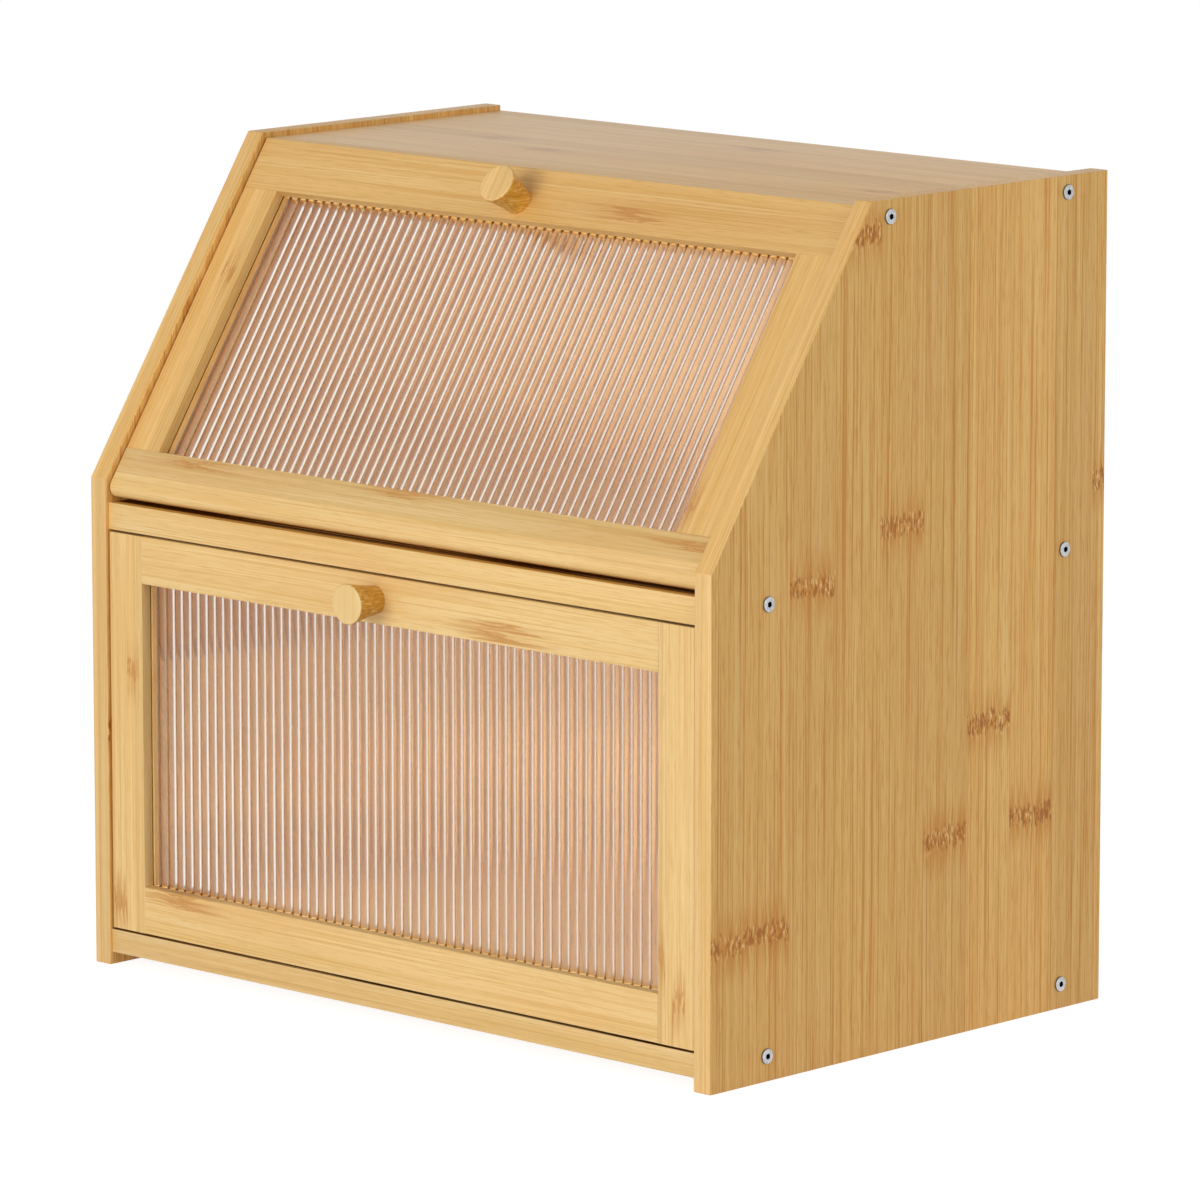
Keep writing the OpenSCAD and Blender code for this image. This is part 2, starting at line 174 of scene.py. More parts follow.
def mix_colour(tree, amount, first, second, blend="MIX"):
    """The first colour with an amount of the second mixed in."""
    options = {"data_type": "RGBA", "blend_type": blend}
    made = node(tree, "ShaderNodeMix", options, i0=amount, i6=first, i7=second)
    return made.outputs[2]


def new_group(name, inputs, outputs):
    """A shader node group with named sockets. Each is given as (name, kind)."""
    group = bpy.data.node_groups.new(name, "ShaderNodeTree")
    for direction, sockets in (("INPUT", inputs), ("OUTPUT", outputs)):
        for label, kind in sockets:
            kind_name = "NodeSocket" + kind
            group.interface.new_socket(name=label, in_out=direction, socket_type=kind_name)
    return group, group.nodes.new("NodeGroupInput"), group.nodes.new("NodeGroupOutput")


print("node helpers are ready")

# %% [markdown]
# ### Knuckles
#
# A knuckle lies across one strip. The group measures how far a point is from it along the grain,
# in half lengths of the knuckle, so that 1 is its edge. Each fibre meets the knuckle at another
# height, which the input Jag gives. Copies of the group make a chain: each keeps the smaller of
# its own distance and the one before.

# %% The knuckle group
FAR_AWAY = 1000.0
tree, source, sink = new_group(
    "knuckle",
    [("Vector", "Vector"), ("Across", "Float"), ("Along", "Float"), ("Half Width", "Float"),
     ("Half Length", "Float"), ("Jag", "Float"), ("Nearest", "Float")],
    [("Nearest", "Float")])
knuckle_group = tree
split = node(tree, "ShaderNodeSeparateXYZ", Vector=source.outputs["Vector"])
offset = math_of(tree, "SUBTRACT", split.outputs["X"], source.outputs["Across"])
sideways = math_of(tree, "ABSOLUTE", offset)
beside = math_of(tree, "GREATER_THAN", sideways, source.outputs["Half Width"])
lengthways = math_of(tree, "SUBTRACT", split.outputs["Z"], source.outputs["Along"])
halves = math_of(tree, "DIVIDE", lengthways, source.outputs["Half Length"])
jagged_halves = math_of(tree, "ADD", halves, source.outputs["Jag"])
distance = math_of(tree, "ABSOLUTE", jagged_halves)
pushed = math_of(tree, "ADD", distance, math_of(tree, "MULTIPLY", beside, FAR_AWAY))
nearest = math_of(tree, "MINIMUM", pushed, source.outputs["Nearest"])
tree.links.new(nearest, sink.inputs["Nearest"])
print("knuckle group has", len(knuckle_group.nodes), "nodes")

# %% [markdown]
# ### Bending the grain
#
# Everything in the grain is noise drawn out along it. A scale says how: waves per millimetre
# across the grain, waves per millimetre along it, and layers of detail. The grain wanders slowly
# to the side, and more sharply near a knuckle. A ramp is given as where it starts and ends, then
# the amount at its start and at its end.

# %% Noise and the wandering grain
WANDER, WANDER_REACH = (0.15, 0.06, 2.0), 4.0
SLOW_WANDER, SLOW_REACH = (0.02, 0.004, 2.0), 2.5
TRAIL_RAMP = (0.4, 4.0, 1.0, 0.0)
BAND_RAMP = (0.6, 1.1, 1.0, 0.0)


def stretched_noise(tree, vector, scale):
    """Noise drawn out along the grain by a scale."""
    across, along, detail = scale
    scaled = node(tree, "ShaderNodeVectorMath", {"operation": "MULTIPLY"},
                  i0=vector, i1=(across, across, along))
    return node(tree, "ShaderNodeTexNoise", Vector=scaled.outputs[0], Scale=1.0,
                Detail=detail, Roughness=0.55).outputs["Fac"]


def wandering(tree, vector, scale):
    """Noise that swings to both sides of zero."""
    return math_of(tree, "SUBTRACT", stretched_noise(tree, vector, scale), 0.5)


tree, source, sink = new_group(
    "bamboo",
    [("Vector", "Vector"), ("Strip Width", "Float"), ("Strip Edge", "Float"), ("Knuckle", "Float"),
     ("Pits", "Float"), ("Pale", "Color"), ("Warm", "Color"), ("Fibre", "Color"), ("Scar", "Color")],
    [("Color", "Color"), ("Roughness", "Float"), ("Height", "Float")])
bamboo_group = tree
straight = source.outputs["Vector"]
trail = ramp(tree, source.outputs["Knuckle"], *TRAIL_RAMP)
band = ramp(tree, source.outputs["Knuckle"], *BAND_RAMP)
near_bend = math_of(tree, "MULTIPLY", wandering(tree, straight, WANDER), trail)
near_bend = math_of(tree, "MULTIPLY", near_bend, WANDER_REACH)
slow_bend = math_of(tree, "MULTIPLY", wandering(tree, straight, SLOW_WANDER), SLOW_REACH)
shift = node(tree, "ShaderNodeCombineXYZ", X=math_of(tree, "ADD", near_bend, slow_bend))
bent = node(tree, "ShaderNodeVectorMath", {"operation": "ADD"},
            i0=straight, i1=shift.outputs[0]).outputs[0]
print("the grain bends by up to", (WANDER_REACH + SLOW_REACH) / 2, "mm")

# %% [markdown]
# ### Strips
#
# Dividing by the strip's width numbers the strips, and the number picks each one's tone. A slab
# is a layer of the board, so that two boards cut from the pattern have different strips. The
# seam is a thin dark line where two strips are glued.

# %% Strips and their seams
SLAB = 50.0
SEAM_RAMP = (0.1, 0.5, 0.45, 0.0)
TONE_RAMP = (0.0, 1.0, 0.91, 1.05)
place = node(tree, "ShaderNodeSeparateXYZ", Vector=straight)
strip_width = source.outputs["Strip Width"]
from_edge = math_of(tree, "SUBTRACT", place.outputs["X"], source.outputs["Strip Edge"])
strip = math_of(tree, "DIVIDE", from_edge, strip_width)
number = math_of(tree, "FLOOR", strip)
slab = math_of(tree, "FLOOR", math_of(tree, "DIVIDE", place.outputs["Y"], SLAB))
tag = node(tree, "ShaderNodeCombineXYZ", X=number, Y=slab)
picked = node(tree, "ShaderNodeTexWhiteNoise", {"noise_dimensions": "3D"}, Vector=tag.outputs[0])
tone = ramp(tree, picked.outputs["Value"], *TONE_RAMP)
seam_distance = math_of(tree, "MULTIPLY", math_of(tree, "PINGPONG", strip, 0.5), strip_width)
seam = ramp(tree, seam_distance, *SEAM_RAMP)
print("strips differ in tone by", round(TONE_RAMP[3] - TONE_RAMP[2], 2))

# %% [markdown]
# ### Fibres
#
# Broad streaks, thin lines, fine fibres and slow clouds are the same noise at four scales. They
# are laid over each other like glazes, each with a colour of its own.

# %% Layers of colour
STREAKS, CLOUDS = (0.22, 0.0035, 2.0), (0.05, 0.006, 1.0)
LINES, FIBRES = (1.25, 0.006, 1.0), (1.9, 0.09, 3.0)
STREAK_RAMP, CLOUD_RAMP = (0.36, 0.66), (0.45, 0.75, 0.0, 0.4)
LINE_RAMP, FIBRE_RAMP = (0.56, 0.68, 0.0, 0.8), (0.46, 0.70, 0.0, 0.6)
PALE_LINE_RAMP = (0.44, 0.32, 0.0, 0.5)
BLUSH, PALE_LINE = (0.80, 0.43, 0.13, 1.0), (0.93, 0.66, 0.29, 1.0)
streaks = stretched_noise(tree, bent, STREAKS)
lines = stretched_noise(tree, bent, LINES)
fibres = stretched_noise(tree, bent, FIBRES)
clouds = stretched_noise(tree, bent, CLOUDS)
fibre_tone = source.outputs["Fibre"]
layers = ((streaks, STREAK_RAMP, source.outputs["Warm"]), (clouds, CLOUD_RAMP, BLUSH),
          (lines, LINE_RAMP, fibre_tone), (fibres, FIBRE_RAMP, fibre_tone),
          (lines, PALE_LINE_RAMP, PALE_LINE))
colour = source.outputs["Pale"]
for noise, amount, paint in layers:
    colour = mix_colour(tree, ramp(tree, noise, *amount), colour, paint)
colour = mix_colour(tree, seam, colour, fibre_tone)
grey = node(tree, "ShaderNodeCombineColor", Red=tone, Green=tone, Blue=tone)
colour = mix_colour(tree, 1.0, colour, grey.outputs[0], "MULTIPLY")
print("laid", len(layers), "layers over each other")

# %% [markdown]
# ### Marks of the knuckles
#
# On a knuckle the fibres break up into brown strokes, dark pits and small glints, which are painted
# highlights. Brown tails trail away from it along the grain. The marks also lie a little deeper
# than the wood.

# %% Strokes, tails and pits
STROKES, STROKE_RAMP = (0.75, 0.12, 2.0), (0.36, 0.54, 0.1, 0.9)
TAILS, TAIL_RAMP = (0.9, 0.02, 2.0), (0.40, 0.60, 0.15, 0.85)
SPECKLE, PIT_RAMP, GLINT_RAMP = (1.1, 0.28, 1.5), (0.50, 0.58), (0.42, 0.34, 0.0, 0.8)
PIT, GLINT = (0.40, 0.125, 0.003, 1.0), (0.95, 0.66, 0.28, 1.0)
LEAST_ROUGH, MORE_ROUGH = 0.36, 0.16
SCAR_DEPTH = 0.6
strokes = ramp(tree, stretched_noise(tree, bent, STROKES), *STROKE_RAMP)
tails = ramp(tree, stretched_noise(tree, bent, TAILS), *TAIL_RAMP)
scarred = math_of(tree, "MULTIPLY", band, strokes)
tailed = math_of(tree, "MULTIPLY", trail, tails)
scar_mask = math_of(tree, "MAXIMUM", scarred, tailed)
colour = mix_colour(tree, scar_mask, colour, source.outputs["Scar"])
speckle = stretched_noise(tree, bent, SPECKLE)
# The pits are dark marks in the wood; the glints are painted highlights.
for spots, paint in ((PIT_RAMP, PIT), (GLINT_RAMP, GLINT)):
    spotted = math_of(tree, "MULTIPLY", band, ramp(tree, speckle, *spots))
    spotted = math_of(tree, "MULTIPLY", spotted, source.outputs["Pits"])
    colour = mix_colour(tree, spotted, colour, paint)
rough = math_of(tree, "ADD", math_of(tree, "MULTIPLY", fibres, MORE_ROUGH), LEAST_ROUGH)
height = math_of(tree, "SUBTRACT", fibres, math_of(tree, "MULTIPLY", scar_mask, SCAR_DEPTH))
for label, result in (("Color", colour), ("Roughness", rough), ("Height", height)):
    tree.links.new(result, sink.inputs[label])
print("bamboo group has", len(bamboo_group.nodes), "nodes")

# %% [markdown]
# ### Tones
#
# The front, the door, the sides and the top of the box differ in tone. Partly they are cut from
# other canes, and partly the tones are painted light: each is the colour its side shows as lit, so
# the door, the slopes and the sides are painted darker, and the top, the front edges, the drawer
# knob's face and the inner boards lighter. A board has two main tones, one for its dark fibres and
# one for its knuckles.


# %% The tones of the boards
def tones(pale, warm, fibre, scar):
    """The four colours of a board."""
    return dict(pale=pale, warm=warm, fibre=fibre, scar=scar)


FRONT = tones((0.87, 0.605, 0.265), (0.82, 0.54, 0.20), (0.73, 0.43, 0.125), (0.60, 0.27, 0.055))
DOOR = tones((0.88, 0.54, 0.185), (0.83, 0.485, 0.145), (0.73, 0.385, 0.09), (0.58, 0.25, 0.05))
EDGE = tones((0.87, 0.57, 0.235), (0.82, 0.51, 0.18), (0.73, 0.415, 0.115), (0.60, 0.27, 0.055))
SIDE = tones((0.89, 0.545, 0.17), (0.82, 0.465, 0.12), (0.62, 0.26, 0.033), (0.60, 0.235, 0.02))
TOP = tones((0.94, 0.615, 0.28), (0.89, 0.55, 0.225), (0.75, 0.44, 0.165), (0.62, 0.33, 0.14))
INNER = tones((0.95, 0.70, 0.38), (0.90, 0.62, 0.30), (0.78, 0.49, 0.20), (0.62, 0.30, 0.08))
DISC = tones((0.97, 0.72, 0.335), (0.95, 0.67, 0.28), (0.88, 0.57, 0.20), (0.60, 0.27, 0.055))
KNOB = tones((0.88, 0.57, 0.22), (0.86, 0.54, 0.19), (0.79, 0.46, 0.145), (0.60, 0.27, 0.055))
# The next three tones are painted shade: the knob's neck, the depths of the gaps and the ledge in
# front of the hinge.
NECK_SHADE_TONE = tones((0.70, 0.36, 0.045), (0.62, 0.30, 0.03), (0.48, 0.21, 0.02), (0.40, 0.15, 0.01))
GAP_SHADE_TONE = tones((0.12, 0.042, 0.006), (0.11, 0.038, 0.006), (0.08, 0.03, 0.005), (0.06, 0.02, 0.004))
LEDGE_SHADE_TONE = tones((0.74, 0.42, 0.10), (0.70, 0.38, 0.08), (0.60, 0.30, 0.06), (0.45, 0.20, 0.03))
print("the front's main tone is", FRONT["pale"])

# %% [markdown]
# ### One material per board
#
# A board is cut from its own blank, so no two share a pattern. The Mapping node turns the board's
# own directions into the group's, and a slice number moves it to a part of the pattern of its own.

# %% Bamboo materials
X, Y, Z = Vector((1, 0, 0)), Vector((0, 1, 0)), Vector((0, 0, 1))
UP_SLOPE = Vector((0, math.sin(LEAN), math.cos(LEAN)))
SLICE = 150.0
STRIP_WIDTH = 29.5
JAGS, JAG_RANGE = (0.45, 0.004, 1.0), (0.2, 0.8)
KNUCKLE_HALF = 5.0
KNUCKLE_JAG = 0.5
GRAIN_BUMP = 0.35
GRAIN_DEPTH = 0.12 * MM


def bamboo(name, slice_number, along, across, wood, strip=STRIP_WIDTH, edge=0.0, knuckles=(),
           half_length=KNUCKLE_HALF, jagged=KNUCKLE_JAG, pits=0.9):
    """Bamboo with its grain along one direction. Knuckles are (across, along, width) in mm."""
    material = bpy.data.materials.new("bamboo_" + name)
    material.use_nodes = True
    tree = material.node_tree
    turn = Matrix((across, along.cross(across), along)).to_euler()
    coordinates = node(tree, "ShaderNodeTexCoord")
    mapped = node(tree, "ShaderNodeMapping", Vector=coordinates.outputs["Object"], Rotation=turn,
                  Location=(0, SLICE * slice_number, 0), Scale=(1 / MM,) * 3).outputs[0]
    jag = ramp(tree, stretched_noise(tree, mapped, JAGS), *JAG_RANGE, -jagged, jagged)
    nearest = FAR_AWAY
    for k_across, k_along, k_width in knuckles:
        mark = node(tree, "ShaderNodeGroup", {"node_tree": knuckle_group}, Vector=mapped,
                    Across=k_across, Along=k_along, Half_Width=k_width / 2,
                    Half_Length=half_length, Jag=jag, Nearest=nearest)
        nearest = mark.outputs["Nearest"]
    colours = {label.title(): (*value, 1.0) for label, value in wood.items()}
    grain = node(tree, "ShaderNodeGroup", {"node_tree": bamboo_group}, Vector=mapped,
                 Strip_Width=strip, Strip_Edge=edge, Knuckle=nearest, Pits=pits, **colours)
    bump = node(tree, "ShaderNodeBump", Strength=GRAIN_BUMP, Distance=GRAIN_DEPTH,
                Height=grain.outputs["Height"])
    shader = tree.nodes["Principled BSDF"]
    tree.links.new(grain.outputs["Color"], shader.inputs["Base Color"])
    tree.links.new(grain.outputs["Roughness"], shader.inputs["Roughness"])
    tree.links.new(bump.outputs[0], shader.inputs["Normal"])
    return material


print("a strip of bamboo is", STRIP_WIDTH, "mm wide")

# %% [markdown]
# ## Boards
#
# The frame holds every board with its grooves, tongues and bores, so their shapes are right. What
# they lack is the maker's last pass with sandpaper, which takes the sharpness off each long edge
# and lets it catch the light. So a copy of each board is cleaned up and its long outer edges are
# bevelled in edit mode. Rims of bores are left sharp.

# %% Easing the edges of a board
EASED = 0.6 * MM
FRAME_EASED = 0.25 * MM
SHORTEST_EASED = 6 * MM
WELD = 0.005 * MM
FLAT_ANGLE = math.radians(0.2)
SMOOTH_ANGLE = math.radians(30)
IN_LINE = 0.99


def copy_of(node_name, piece_name):
    """A clean copy of a CAD node's mesh: joined up, with one face where the CAD has triangles."""
    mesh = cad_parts[node_name].data.copy()
    mesh.materials.clear()
    piece = bpy.data.objects.new(piece_name, mesh)
    bpy.context.scene.collection.objects.link(piece)
    take(piece)
    bpy.ops.object.mode_set(mode="EDIT")
    bpy.ops.mesh.select_all(action="SELECT")
    bpy.ops.mesh.remove_doubles(threshold=WELD)
    bpy.ops.mesh.dissolve_limited(angle_limit=FLAT_ANGLE)
    bpy.ops.object.mode_set(mode="OBJECT")
    return piece


def ease_edges(piece, radius, along):
    """Bevels the long outer edges, or only those that run along a direction."""
    take(piece)
    bpy.ops.object.mode_set(mode="EDIT")
    bpy.ops.mesh.select_mode(type="EDGE")
    bpy.ops.mesh.select_all(action="DESELECT")
    shape = bmesh.from_edit_mesh(piece.data)
    chosen = 0
    for edge in shape.edges:
        if len(edge.link_faces) != 2 or not edge.is_convex or edge.calc_length() < SHORTEST_EASED:
            continue
        run = (edge.verts[1].co - edge.verts[0].co).normalized()
        in_line = along is None or abs(run.dot(along)) > IN_LINE
        if in_line and edge.calc_face_angle() > SMOOTH_ANGLE:
            edge.select_set(True)
            chosen += 1
    bmesh.update_edit_mesh(piece.data)
    bpy.ops.mesh.bevel(offset=radius, segments=2, profile=0.5, clamp_overlap=False)
    bpy.ops.object.mode_set(mode="OBJECT")
    bpy.ops.object.shade_smooth_by_angle(angle=SMOOTH_ANGLE)
    return chosen


print("edges are eased by", EASED / MM, "mm, and in the frames by", FRAME_EASED / MM, "mm")

# %% [markdown]
# A board gets its grain, and says which body it moves with and which CAD node it stands for. A
# side panel has two more materials, which paint light on its narrow front edge, seen brighter than
# its face: one for the upright part of the edge and one for the slope, painted in the door's darker
# tone.

# %% Dressing a board
FACES_FRONT = -0.5
UPRIGHT_TILT = 0.2


def front_slot(normal):
    """Which of a side panel's materials a face takes: its own, or the front edge's or slope's
    painted light.
    """
    if normal.y > FACES_FRONT:
        return 0
    return 2 if abs(normal.z) > UPRIGHT_TILT else 1


def board(node_name, body, material, radius=EASED, along=None, front_materials=()):
    """Dresses one wooden CAD node: eased edges, its own grain, and its place in the object."""
    piece = copy_of(node_name, node_name + "_board")
    count = ease_edges(piece, radius, along)
    for grain in (material, *front_materials):
        piece.data.materials.append(grain)
    if front_materials:
        for face in piece.data.polygons:
            face.material_index = front_slot(face.normal)
    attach(piece, body)
    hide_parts(node_name)
    print(piece.name, "eased on", count, "edges")
    return piece


print("faces that look to the front are told by a normal below", FACES_FRONT)

# %% [markdown]
# The three gaps across the front read as dark lines. Pale wood on both sides would light them up,
# so shade is painted on the level faces that look into a gap: a strip of dark wood without sheen
# along their front edge. In front of the hinge a paler ledge of painted half shade shows below the
# dark line.

# %% Painted shade in the gaps
SHADE_STRIP_DEPTH = 13 * MM
LEDGE_STRIP = 4.5 * MM
FACES_LEVEL = 0.9
UP, DOWN = 1, -1
gap_shade_wood = bamboo("shaded_gap", 26, X, Y, GAP_SHADE_TONE)
ledge_shade_wood = bamboo("ledge", 27, X, Y, LEDGE_SHADE_TONE)
# The painted shade has no sheen.
for wood in (gap_shade_wood, ledge_shade_wood):
    wood.node_tree.nodes["Principled BSDF"].inputs["Specular IOR Level"].default_value = 0.0


def paint_shade_strip(piece, facing, wood=gap_shade_wood, depth=SHADE_STRIP_DEPTH):
    """Paints shade, as darker wood, on the front strip of a piece's faces that look up or down."""
    piece.data.materials.append(wood)
    strip_end = min(v.co.y for v in piece.data.vertices) + depth
    take(piece)
    bpy.ops.object.mode_set(mode="EDIT")
    bpy.ops.mesh.select_all(action="SELECT")
    bpy.ops.mesh.bisect(plane_co=(0, strip_end, 0), plane_no=(0, 1, 0))
    bpy.ops.object.mode_set(mode="OBJECT")
    chosen = [face for face in piece.data.polygons
              if face.normal.z * facing > FACES_LEVEL and face.center.y < strip_end]
    for face in chosen:
        face.material_index = len(piece.data.materials) - 1
    print(piece.name, "has", len(chosen), "darker faces")


print("the dark strips are", SHADE_STRIP_DEPTH / MM, "mm deep")

# %% [markdown]
# ### The cabinet
#
# The side panels are glued from strips about 30 mm wide that stand upright. The knuckles of the
# right one are placed where they show on the real box.

# %% The side panels
panel_low, panel_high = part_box("side_panel_left")
row_shift = box_high.y / MM - (panel_high.y - panel_low.y) / MM


def side_mark(depth, height, width=STRIP_WIDTH):
    """A knuckle on a side panel, by its distance from the panel's front edge and its height."""
    return depth + row_shift, height, width


right_marks = [side_mark(94.5, 367), side_mark(123.9, 236.5), side_mark(65, 216),
               side_mark(183, 139.5), side_mark(212.2, 93), side_mark(153.6, 91.2),
               side_mark(35.5, 66.5), side_mark(6, 64.5), side_mark(257.8, 241, 9.0)]
left_marks = [side_mark(35, 96), side_mark(65, 300), side_mark(94.5, 180), side_mark(153.6, 322),
              side_mark(183, 58), side_mark(212.2, 214), side_mark(6, 110)]
strip_edge = 20.7 + row_shift
# The sides' darker tone is partly painted shade.
side_right = bamboo("side_right", 1, Z, Y, SIDE, edge=strip_edge, knuckles=right_marks)
side_left = bamboo("side_left", 2, Z, Y, SIDE, edge=strip_edge, knuckles=left_marks)
# The front edge and the slope take copies of the grain in other tones: painted light and shade.
side_edges = (bamboo("side_edge", 22, Z, X, EDGE, edge=15.0),
              bamboo("side_slope", 23, UP_SLOPE, X, DOOR, edge=15.0))
board("side_panel_right", "cabinet", side_right, front_materials=side_edges)
board("side_panel_left", "cabinet", side_left, front_materials=side_edges)

# %% [markdown]
# The top panel shows only four faint, wide marks. The shelf and the floor panel face the gaps.

# %% The other boards of the cabinet
top_marks = [(56, -107, 12), (37, -58, 10), (104, 14, 12), (25, 162, 10)]
shelf_marks = [(-60, -96, STRIP_WIDTH), (20, 80, STRIP_WIDTH)]
floor_marks = [(10, 120, STRIP_WIDTH)]
back_marks = [(-84, 240, STRIP_WIDTH), (33, 120, STRIP_WIDTH), (122, 300, STRIP_WIDTH)]
# The top's lighter tone is painted light.
top_wood = bamboo("top", 3, X, Y, TOP, edge=8.0, knuckles=top_marks,
                  half_length=6.0, jagged=1.0, pits=0.0)
board("top_panel", "cabinet", top_wood)
shelf_wood = bamboo("shelf", 4, X, Y, FRONT, edge=6.0, knuckles=shelf_marks)
shelf = board("shelf", "cabinet", shelf_wood, FRAME_EASED)
# Painted shade on the shelf in the gaps below and above it, and a paler ledge of it by the hinge.
paint_shade_strip(shelf, DOWN)
paint_shade_strip(shelf, UP)
paint_shade_strip(shelf, UP, ledge_shade_wood, LEDGE_STRIP)
floor_wood = bamboo("floor", 5, X, Y, FRONT, edge=3.0, knuckles=floor_marks)
floor_panel = board("floor_panel", "cabinet", floor_wood, FRAME_EASED)
# Painted shade in the gap under the drawer.
paint_shade_strip(floor_panel, UP)
# The back panel takes the paler inner tone, painted light.
back_wood = bamboo("back", 6, Z, X, INNER, edge=4.0, knuckles=back_marks)
board("back_panel", "cabinet", back_wood)

# %% [markdown]
# ### The door's and the drawer's frames
#
# Their rails and stiles are glued flush, so only the edges along the grain are eased. They are
# cut on edge, which draws each knuckle out into a few long brown streaks.

# %% The door's frame
RAIL_STREAK = 10.0
STILE_STREAK = 5.0
STREAK_JAG = 1.3
slope_start = slope_foot.z / MM * math.cos(LEAN) + slope_foot.y / MM * math.sin(LEAN)


def frame_piece(node_name, body, slice_number, along, across, wood, edge, knuckles=()):
    """A rail or stile of the door's or the drawer's frame."""
    half_length = RAIL_STREAK if along == X else STILE_STREAK
    grain = bamboo(node_name, slice_number, along, across, wood, edge=edge, knuckles=knuckles,
                   half_length=half_length, jagged=STREAK_JAG, pits=0.0)
    return board(node_name, body, grain, FRAME_EASED, along)


low_rail_marks = [(slope_start + 18, -4, 8), (slope_start + 15, -133, 5), (slope_start + 13, 176, 5)]
left_marks = [(-170, slope_start + 116, 8)]
right_marks = [(165, slope_start + 32, 5)]
# The bottom rail keeps the front's tone, and the other door pieces the door's darker one: painted
# shade.
frame_piece("door_top_rail", "door", 7, X, UP_SLOPE, DOOR, 2.0, [(slope_start + 165, 62, 7)])
frame_piece("door_bottom_rail", "door", 8, X, UP_SLOPE, FRONT, 9.0, low_rail_marks)
frame_piece("door_stile_left", "door", 9, UP_SLOPE, X, DOOR, -170.0, left_marks)
frame_piece("door_stile_right", "door", 10, UP_SLOPE, X, DOOR, 164.0, right_marks)

# %% [markdown]
# The drawer's front is framed in the same way. The boards behind it have the paler inner tone,
# painted light that keeps the inside bright where it is lit only through the panes.

# %% The drawer's boards
low_rail_marks = [(37, -140, 8)]
left_marks = [(-169, 139, 8), (-179, 30, 9)]
right_marks = [(175, 36, 8), (165, 54, 4)]
frame_piece("drawer_front_top_rail", "drawer", 11, X, Z, FRONT, 4.0, [(188, 65, 9)])
drawer_rail = frame_piece("drawer_front_bottom_rail", "drawer", 12, X, Z, FRONT, 2.0, low_rail_marks)
# Painted shade under the rail, in the gap under the drawer.
paint_shade_strip(drawer_rail, DOWN)
frame_piece("drawer_front_stile_left", "drawer", 13, Z, X, FRONT, -168.0, left_marks)
frame_piece("drawer_front_stile_right", "drawer", 14, Z, X, FRONT, 165.0, right_marks)
inner_boards = [("drawer_side_left", "box_left", 15, Y, Z, 1.0, [(75, 30)]),
                ("drawer_side_right", "box_right", 16, Y, Z, 7.0, [(104, -20)]),
                ("drawer_back", "box_back", 17, X, Z, 5.0, [(78, 90)]),
                ("drawer_bottom", "box_bottom", 18, X, Y, 2.0, [(-20, 40), (70, -100)])]
for node_name, name, slice_number, along, across, edge, spots in inner_boards:
    marks = [(*spot, STRIP_WIDTH) for spot in spots]
    grain = bamboo(name, slice_number, along, across, INNER, edge=edge, knuckles=marks)
    board(node_name, "drawer", grain)

# %% [markdown]
# ## Fluted panes
#
# Clear plastic has to let light into the box as well as bend the view. A refracting shader alone
# would throw a solid shadow, so shadow rays see a Transparent shader instead. The valleys between
# the flutes gather dark, warm reflections, which are painted in as a dark tint of their own.

# %% Fluted acrylic
FLUTE_PITCH = 5.45 * MM
flute_count = math.ceil((pane_high.x - pane_low.x) / FLUTE_PITCH)
FLUTE_PHASE = flute_count * FLUTE_PITCH / 2 - (pane_low.x + pane_high.x) / 2
PLASTIC_TINT = (1.0, 0.965, 0.91, 1.0)
VALLEY_REFLECTION_TINT = (0.52, 0.27, 0.125, 1.0)
VALLEY_WIDTH = 0.6 * MM
acrylic = bpy.data.materials.new("fluted_acrylic")
acrylic.use_nodes = True
tree = acrylic.node_tree
shader = tree.nodes["Principled BSDF"]
coordinates = node(tree, "ShaderNodeTexCoord")
sideways = node(tree, "ShaderNodeSeparateXYZ", Vector=coordinates.outputs["Object"]).outputs["X"]
shifted = math_of(tree, "ADD", sideways, FLUTE_PHASE)
to_valley = math_of(tree, "PINGPONG", shifted, FLUTE_PITCH / 2)
# The dark tint in the valleys is a painted reflection.
out_of_valley = ramp(tree, to_valley, 0.3 * VALLEY_WIDTH, VALLEY_WIDTH)
tint = mix_colour(tree, out_of_valley, VALLEY_REFLECTION_TINT, PLASTIC_TINT)
tree.links.new(tint, shader.inputs["Base Color"])
for label, value in (("Transmission Weight", 1.0), ("IOR", 1.6), ("Roughness", 0.1)):
    shader.inputs[label].default_value = value
clear = node(tree, "ShaderNodeBsdfTransparent", Color=(1.0, 1.0, 1.0, 1.0))
path = node(tree, "ShaderNodeLightPath")
choice = node(tree, "ShaderNodeMixShader", i0=path.outputs["Is Shadow Ray"],
              i1=shader.outputs[0], i2=clear.outputs[0])
tree.links.new(choice.outputs[0], tree.nodes["Material Output"].inputs["Surface"])
print("a pane has", flute_count, "flutes")

# %% [markdown]
# Each pane is a clear acrylic sheet whose face is a row of shallow round flutes. One flute is an
# arc, so an upright edge is spun about the flute's centre line. An Array repeats it, two cuts trim
# the row to the pane's width, and an extrusion pressed flat gives the smooth back.

# %% One flute, repeated
FLUTE_DEPTH = 0.9 * MM
FLUTE_STEPS = 14
FLUTE_SMOOTH = math.radians(40)
flute_r = ((FLUTE_PITCH / 2) ** 2 + FLUTE_DEPTH ** 2) / (2 * FLUTE_DEPTH)
flute_turn = 2 * math.asin(FLUTE_PITCH / 2 / flute_r)


def upright_edge(pane, place):
    """Turns a plane's four corners into one upright edge at a place, given by both its ends."""
    bpy.ops.object.mode_set(mode="EDIT")
    shape = bmesh.from_edit_mesh(pane.data)
    corners = sorted(shape.verts, key=lambda v: (v.co.x, v.co.y))
    for corner, end in zip(corners[:2], place):
        corner.co = end
    for corner in shape.verts:
        corner.select_set(corner in corners[2:])
    shape.select_flush(False)
    bmesh.update_edit_mesh(pane.data)
    bpy.ops.mesh.delete(type="VERT")


